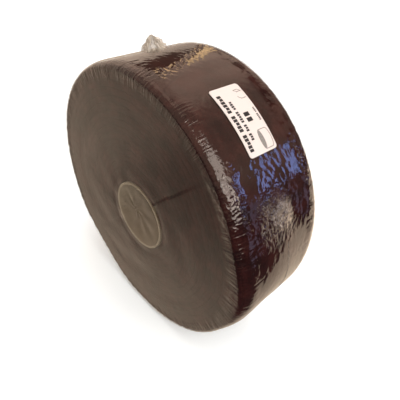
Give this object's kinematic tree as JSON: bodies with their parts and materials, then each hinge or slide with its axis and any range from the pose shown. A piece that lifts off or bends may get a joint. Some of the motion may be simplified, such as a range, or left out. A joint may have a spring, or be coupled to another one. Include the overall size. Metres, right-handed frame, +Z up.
{
  "type": "shrink-wrapped abrasive web roll",
  "caption": "Roll of maroon non-woven abrasive web on a paper core, shrink-wrapped in clear film with a paper label, standing on its tread.",
  "frame": {"origin": "on the floor under the middle of the roll, halfway between its two faces, in the patch of tread that it rests on", "axes": "+Z up; the roll's axis runs along Y, with the front face towards -Y; +X is the side of the tread with the label"},
  "size_m": [0.3273, 0.1168, 0.3228],
  "materials": {
    "kraft_paper": "matte kraft board",
    "tack_tape": "thin double-sided tape",
    "abrasive_web": "open maroon fibre web",
    "clear_film": "clear glossy shrink film",
    "gathered_film": "gathered and welded shrink film",
    "label_paper": "printed white sticker"
  },
  "bodies": {
    "root": {"core_inner_ply": "kraft_paper", "core_middle_ply_1": "kraft_paper", "core_middle_ply_2": "kraft_paper", "core_middle_ply_3": "kraft_paper", "core_outer_ply": "kraft_paper", "web_tack_tape": "tack_tape", "abrasive_web": "abrasive_web", "film_front_panel": "clear_film", "film_back_panel": "clear_film", "film_seal_right": "gathered_film", "film_seal_bottom": "gathered_film", "film_seal_left": "gathered_film", "film_corner_top": "gathered_film", "film_corner_right": "gathered_film", "film_corner_bottom": "gathered_film", "film_corner_left": "gathered_film", "label": "label_paper"}
  },
  "joints": []
}
